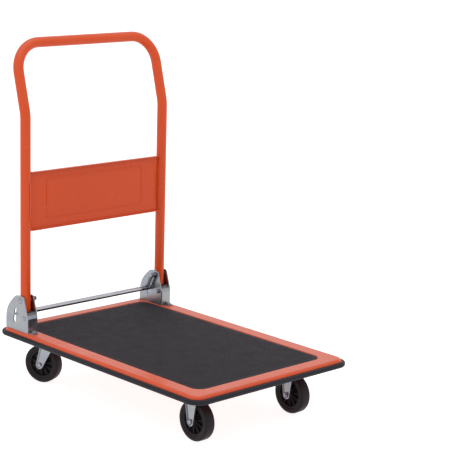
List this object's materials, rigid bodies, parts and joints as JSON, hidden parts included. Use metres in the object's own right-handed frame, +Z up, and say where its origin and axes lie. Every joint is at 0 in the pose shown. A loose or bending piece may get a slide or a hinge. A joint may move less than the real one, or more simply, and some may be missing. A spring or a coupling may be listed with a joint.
{
  "type": "folding platform cart",
  "caption": "Platform hand cart: matted steel deck with a rubber edge, a tubular push handle that folds flat, a sprung lock rod, and rigid front and swivelling rear casters.",
  "frame": {"origin": "on the floor under the middle of the deck's bumper outline", "axes": "+Z up, +X from the handle's end towards the rigid front casters, +Y to the left"},
  "size_m": [0.726, 0.484, 0.8346],
  "materials": {
    "powder_coat": "satin gloss powder coat",
    "mat_rubber": "fine pimpled",
    "bumper_rubber": "satin",
    "tyre_rubber": "satin",
    "hub_plastic": "matte",
    "spring_steel": "drawn wire",
    "ball_steel": "polished",
    "bright_zinc": "bright zinc plate",
    "zinc_plate": "zinc plated sheet",
    "zinc_fastener": "zinc plated"
  },
  "bodies": {
    "chassis": {"deck_pan": "powder_coat", "deck_mat": "mat_rubber", "edge_bumper": "bumper_rubber", "cross_rail_front": "powder_coat", "cross_rail_rear": "powder_coat", "hinge_bracket_left": "zinc_plate", "hinge_bracket_right": "zinc_plate", "bracket_bolts": "zinc_fastener", "bracket_nuts": "zinc_fastener", "pivot_bolt_left": "zinc_fastener", "pivot_bolt_right": "zinc_fastener", "pivot_nuts": "zinc_fastener", "stop_bolts": "zinc_fastener", "stop_nuts": "zinc_fastener", "spring_left": "spring_steel", "spring_right": "spring_steel", "rigid_fork_left": "zinc_plate", "rigid_fork_right": "zinc_plate", "swivel_plate_left": "zinc_plate", "swivel_plate_right": "zinc_plate", "swivel_balls_left": "ball_steel", "swivel_balls_right": "ball_steel", "king_pin_left": "zinc_fastener", "king_pin_right": "zinc_fastener", "bearing_cup_left": "zinc_plate", "bearing_cup_right": "zinc_plate", "caster_bolts": "zinc_fastener", "caster_nuts": "zinc_fastener", "axle_sleeve_front_left": "zinc_fastener", "axle_sleeve_front_right": "zinc_fastener", "axle_bolt_front_left": "zinc_fastener", "axle_bolt_front_right": "zinc_fastener", "axle_nut_front_left": "zinc_fastener", "axle_nut_front_right": "zinc_fastener"},
    "handle": {"handle_tube": "powder_coat", "handle_panel": "powder_coat", "tail_caps": "powder_coat", "pivot_sleeves": "zinc_fastener"},
    "lock_bar": {"lock_rod": "bright_zinc"},
    "swivel_left": {"swivel_fork_left": "zinc_plate", "axle_sleeve_rear_left": "zinc_fastener", "axle_bolt_rear_left": "zinc_fastener", "axle_nut_rear_left": "zinc_fastener"},
    "swivel_right": {"swivel_fork_right": "zinc_plate", "axle_sleeve_rear_right": "zinc_fastener", "axle_bolt_rear_right": "zinc_fastener", "axle_nut_rear_right": "zinc_fastener"},
    "wheel_front_left": {"tyre_front_left": "tyre_rubber", "hub_front_left": "hub_plastic"},
    "wheel_front_right": {"tyre_front_right": "tyre_rubber", "hub_front_right": "hub_plastic"},
    "wheel_rear_left": {"tyre_rear_left": "tyre_rubber", "hub_rear_left": "hub_plastic"},
    "wheel_rear_right": {"tyre_rear_right": "tyre_rubber", "hub_rear_right": "hub_plastic"}
  },
  "joints": [
    {"name": "handle_fold", "type": "hinge", "parent": "chassis", "child": "handle", "pos_m": [-0.2854, 0, 0.213], "axis": [0, 1, 0], "range_deg": [0, 98.2]},
    {"name": "lock_slide", "type": "slide", "parent": "chassis", "child": "lock_bar", "axis": [0.1994, 0, 0.9799], "range_m": [-0.0146, 0], "stiffness_N_per_m": 800, "springref_m": 0.02, "deforming": ["spring_left", "spring_right"]},
    {"name": "swivel_left", "type": "hinge", "parent": "chassis", "child": "swivel_left", "pos_m": [-0.252, 0.15, 0.103], "axis": [0, 0, 1], "continuous": true},
    {"name": "swivel_right", "type": "hinge", "parent": "chassis", "child": "swivel_right", "pos_m": [-0.252, -0.15, 0.103], "axis": [0, 0, 1], "continuous": true},
    {"name": "spin_front_left", "type": "hinge", "parent": "chassis", "child": "wheel_front_left", "pos_m": [0.2652, 0.15, 0.0465], "axis": [0, 1, 0], "continuous": true},
    {"name": "spin_front_right", "type": "hinge", "parent": "chassis", "child": "wheel_front_right", "pos_m": [0.2652, -0.15, 0.0465], "axis": [0, 1, 0], "continuous": true},
    {"name": "spin_rear_left", "type": "hinge", "parent": "swivel_left", "child": "wheel_rear_left", "pos_m": [-0.28134, 0.14376, 0.0465], "axis": [-0.2079, 0.9781, 0], "continuous": true},
    {"name": "spin_rear_right", "type": "hinge", "parent": "swivel_right", "child": "wheel_rear_right", "pos_m": [-0.27991, -0.16099, 0.0465], "axis": [-0.3665, 0.9304, 0], "continuous": true}
  ]
}
